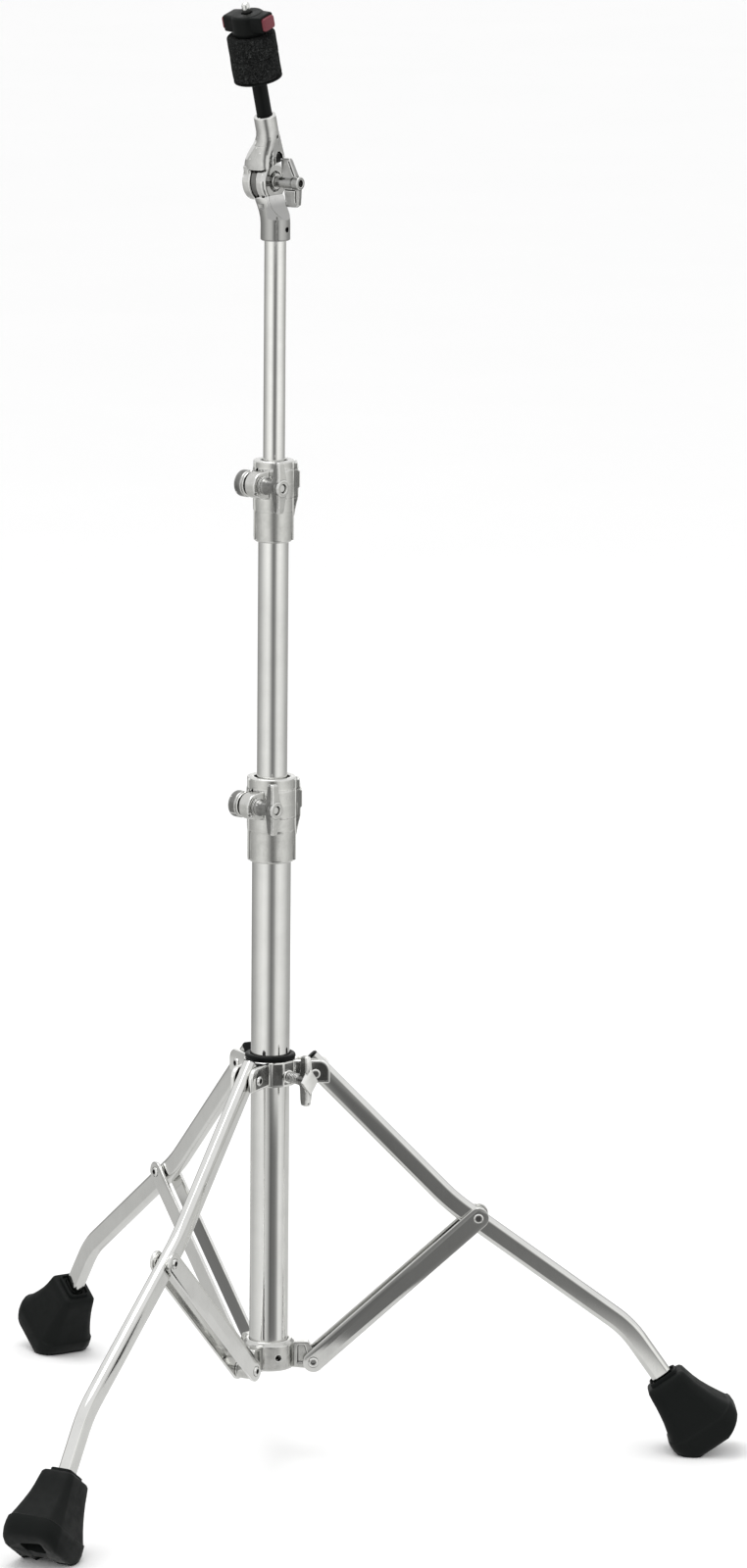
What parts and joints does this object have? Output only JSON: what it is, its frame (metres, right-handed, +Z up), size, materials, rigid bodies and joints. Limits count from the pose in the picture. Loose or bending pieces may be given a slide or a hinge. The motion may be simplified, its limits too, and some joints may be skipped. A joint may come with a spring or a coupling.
{
  "type": "straight cymbal stand",
  "caption": "Straight cymbal stand with a folding double-braced tripod, telescopic tubes, a tilter and a felted rod with a push-button nut.",
  "frame": {"origin": "centre of the bounding box, on the floor under the boots", "axes": "+Z up along the tubes, +X towards the leg on the right of the picture, -Y towards the viewer"},
  "size_m": [0.5372, 0.617, 1.0728],
  "materials": {
    "chrome": "polished",
    "satin_cast": "satin cast and plated",
    "steel": "bright",
    "black_plastic": "matte",
    "rubber": "matte",
    "felt": "wool felt",
    "crimson_plastic": "satin"
  },
  "bodies": {
    "mast": {"base_tube": "chrome", "brace_hub": "satin_cast", "hub_set_screw": "steel", "hub_screw_right": "steel", "hub_screw_rear": "steel", "hub_screw_front": "steel", "lower_clamp": "satin_cast", "lower_clamp_bushing": "black_plastic", "lower_clamp_bolt": "steel", "lower_clamp_washer": "steel"},
    "brace_right": {"brace_right_a": "chrome", "brace_right_b": "chrome"},
    "leg_right": {"leg_right": "chrome", "leg_plug_right": "black_plastic", "foot_right": "rubber", "knee_screw_right": "steel"},
    "leg_collar": {"leg_collar": "chrome", "collar_bushing": "black_plastic", "collar_screw_right": "steel", "collar_screw_rear": "steel", "collar_screw_front": "steel"},
    "leg_rear": {"leg_rear": "chrome", "leg_plug_rear": "black_plastic", "foot_rear": "rubber", "knee_screw_rear": "steel"},
    "leg_front": {"leg_front": "chrome", "leg_plug_front": "black_plastic", "foot_front": "rubber", "knee_screw_front": "steel"},
    "brace_rear": {"brace_rear_a": "chrome", "brace_rear_b": "chrome"},
    "brace_front": {"brace_front_a": "chrome", "brace_front_b": "chrome"},
    "collar_wing_bolt": {"collar_wing_bolt": "satin_cast"},
    "lower_wing_nut": {"lower_clamp_wing_nut": "satin_cast"},
    "middle_mast": {"middle_tube": "chrome", "middle_tube_guide": "black_plastic", "upper_clamp": "satin_cast", "upper_clamp_bushing": "black_plastic", "upper_clamp_bolt": "steel", "upper_clamp_washer": "steel"},
    "upper_wing_nut": {"upper_clamp_wing_nut": "satin_cast"},
    "top_mast": {"top_tube": "chrome", "top_tube_guide": "black_plastic", "tilter_base": "satin_cast", "tilter_set_screw": "steel", "tilter_friction_disc": "satin_cast", "tilter_washer": "steel"},
    "tilter_wing_bolt": {"tilter_wing_bolt": "satin_cast"},
    "tilter_head": {"tilter_head": "satin_cast", "tilter_barrel_nut": "steel", "cymbal_rod": "chrome", "rod_sleeve": "black_plastic", "felt_seat": "black_plastic", "lower_felt": "felt"},
    "upper_felt": {"upper_felt": "felt"},
    "quick_release_nut": {"quick_release_nut": "black_plastic"},
    "nut_button_left": {"nut_button_left": "crimson_plastic"},
    "nut_button_right": {"nut_button_right": "crimson_plastic"}
  },
  "joints": [
    {"name": "fold", "type": "hinge", "parent": "mast", "child": "brace_right", "pos_m": [-0.0454, 0, 0.0695], "axis": [0, -1, 0], "range_deg": [0, 43]},
    {"name": "knee_right", "type": "hinge", "parent": "brace_right", "child": "leg_right", "pos_m": [0.0753, 0, 0.179], "axis": [0, -1, 0], "range_deg": [-86, 0]},
    {"name": "collar_pivot_right", "type": "hinge", "parent": "leg_right", "child": "leg_collar", "pos_m": [-0.0454, 0, 0.2885], "axis": [0, -1, 0], "range_deg": [0, 43]},
    {"name": "collar_pivot_rear", "type": "hinge", "parent": "leg_collar", "child": "leg_rear", "pos_m": [-0.0949, 0.02858, 0.2885], "axis": [0.866, 0.5, 0], "range_deg": [-43, 0]},
    {"name": "collar_pivot_front", "type": "hinge", "parent": "leg_collar", "child": "leg_front", "pos_m": [-0.0949, -0.02858, 0.2885], "axis": [-0.866, 0.5, 0], "range_deg": [-43, 0]},
    {"name": "knee_rear", "type": "hinge", "parent": "leg_rear", "child": "brace_rear", "pos_m": [-0.15525, 0.13311, 0.179], "axis": [0.866, 0.5, 0], "range_deg": [0, 86]},
    {"name": "knee_front", "type": "hinge", "parent": "leg_front", "child": "brace_front", "pos_m": [-0.15525, -0.13311, 0.179], "axis": [-0.866, 0.5, 0], "range_deg": [0, 86]},
    {"name": "collar_wing_turn", "type": "hinge", "parent": "leg_collar", "child": "collar_wing_bolt", "pos_m": [-0.05872, -0.02264, 0.2877], "axis": [0.6561, -0.7547, 0], "continuous": true},
    {"name": "lower_nut_turn", "type": "hinge", "parent": "mast", "child": "lower_wing_nut", "pos_m": [-0.084, -0.0274, 0.49], "axis": [0.7193, -0.6947, 0], "continuous": true},
    {"name": "middle_slide", "type": "slide", "parent": "mast", "child": "middle_mast", "axis": [0, 0, 1], "range_m": [-0.165, 0.14]},
    {"name": "upper_nut_turn", "type": "hinge", "parent": "middle_mast", "child": "upper_wing_nut", "pos_m": [-0.08095, -0.02423, 0.7248], "axis": [0.7193, -0.6947, 0], "continuous": true},
    {"name": "top_slide", "type": "slide", "parent": "middle_mast", "child": "top_mast", "axis": [0, 0, 1], "range_m": [-0.145, 0.15]},
    {"name": "tilter_wing_turn", "type": "hinge", "parent": "top_mast", "child": "tilter_wing_bolt", "pos_m": [-0.06895, -0.00739, 0.942], "axis": [0.788, -0.6157, 0], "continuous": true},
    {"name": "tilt", "type": "hinge", "parent": "top_mast", "child": "tilter_head", "pos_m": [-0.08628, 0.00616, 0.942], "axis": [0.788, -0.6157, 0], "range_deg": [-105, 70]},
    {"name": "upper_felt_slide", "type": "slide", "parent": "tilter_head", "child": "upper_felt", "axis": [-0.1718, -0.2198, 0.9603], "range_m": [0, 0.03]},
    {"name": "nut_slide", "type": "slide", "parent": "upper_felt", "child": "quick_release_nut", "axis": [-0.1718, -0.2198, 0.9603], "range_m": [0, 0.04]},
    {"name": "button_left_press", "type": "slide", "parent": "quick_release_nut", "child": "nut_button_left", "axis": [0.788, -0.6157, 0], "range_m": [0, 0.0015], "stiffness_N_per_m": 400, "springref_m": -0.002},
    {"name": "button_right_press", "type": "slide", "parent": "quick_release_nut", "child": "nut_button_right", "axis": [-0.788, 0.6157, 0], "range_m": [0, 0.0015], "stiffness_N_per_m": 400, "springref_m": -0.002}
  ],
  "couplings": [
    {"joint": "knee_right", "follows": "fold", "ratio": -2},
    {"joint": "collar_pivot_right", "follows": "fold", "ratio": 1},
    {"joint": "collar_pivot_rear", "follows": "fold", "ratio": -1},
    {"joint": "collar_pivot_front", "follows": "fold", "ratio": -1},
    {"joint": "knee_rear", "follows": "fold", "ratio": 2},
    {"joint": "knee_front", "follows": "fold", "ratio": 2}
  ]
}
